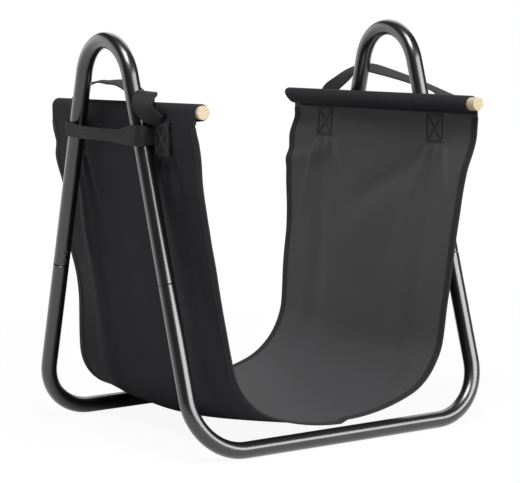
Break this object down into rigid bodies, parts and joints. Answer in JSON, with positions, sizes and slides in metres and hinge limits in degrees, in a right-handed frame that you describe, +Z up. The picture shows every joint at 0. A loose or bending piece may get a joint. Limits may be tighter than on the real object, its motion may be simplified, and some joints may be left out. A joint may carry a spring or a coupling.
{
  "type": "log holder with carrier",
  "caption": "Bent-tube log holder with splayed arch legs and floor rails, and a lift-out canvas log carrier that hangs from the arches by webbing straps, with dowel stiffened edges and handles.",
  "frame": {"origin": "on the floor, midway between the arches and midway between the floor rails", "axes": "+Z up, +X from the left arch to the right arch, -Y to the front, where the dowels stand out of their sleeves"},
  "size_m": [0.5393, 0.4331, 0.5439],
  "materials": {
    "black_powder_coat": "satin black powder coat on bent steel tube",
    "black_screws": "blackened button-head screws",
    "plain_nuts": "plain plated nuts, hidden inside the tube",
    "black_canvas": "matte woven canvas",
    "black_tape": "fine woven edge tape, stitched",
    "black_webbing": "ribbed webbing, stitched",
    "raw_wood": "bare pale wood"
  },
  "bodies": {
    "stand": {"left_arch": "black_powder_coat", "right_arch": "black_powder_coat", "front_rail": "black_powder_coat", "back_rail": "black_powder_coat", "left_front_screws": "black_screws", "left_front_nuts": "plain_nuts", "left_back_screws": "black_screws", "left_back_nuts": "plain_nuts", "right_front_screws": "black_screws", "right_front_nuts": "plain_nuts", "right_back_screws": "black_screws", "right_back_nuts": "plain_nuts"},
    "carrier": {"sling": "black_canvas", "front_edge_binding": "black_tape", "back_edge_binding": "black_tape", "left_handle_tabs": "black_webbing", "left_hanging_strap": "black_webbing", "right_handle_tabs": "black_webbing", "right_hanging_strap": "black_webbing"},
    "left_dowel": {"left_dowel": "raw_wood"},
    "right_dowel": {"right_dowel": "raw_wood"},
    "left_handle": {"left_handle": "black_webbing"},
    "right_handle": {"right_handle": "black_webbing"}
  },
  "joints": [
    {"name": "carrier_lift", "type": "slide", "parent": "stand", "child": "carrier", "axis": [0, 0, 1], "range_m": [0, 0.16]},
    {"name": "left_dowel_slide", "type": "slide", "parent": "carrier", "child": "left_dowel", "axis": [-0.0523, -0.9982, 0.0288], "range_m": [-0.006, 0.38]},
    {"name": "right_dowel_slide", "type": "slide", "parent": "carrier", "child": "right_dowel", "axis": [0.0523, -0.9986, 0.0113], "range_m": [-0.022, 0.37]},
    {"name": "left_handle_turn", "type": "hinge", "parent": "carrier", "child": "left_handle", "pos_m": [-0.2015, 0, 0.4417], "axis": [0.0523, 0.9982, -0.0288], "range_deg": [0, 80]},
    {"name": "right_handle_turn", "type": "hinge", "parent": "carrier", "child": "right_handle", "pos_m": [0.21508, 0.0008, 0.4413], "axis": [-0.0523, 0.9986, -0.0113], "range_deg": [0, 22]}
  ]
}
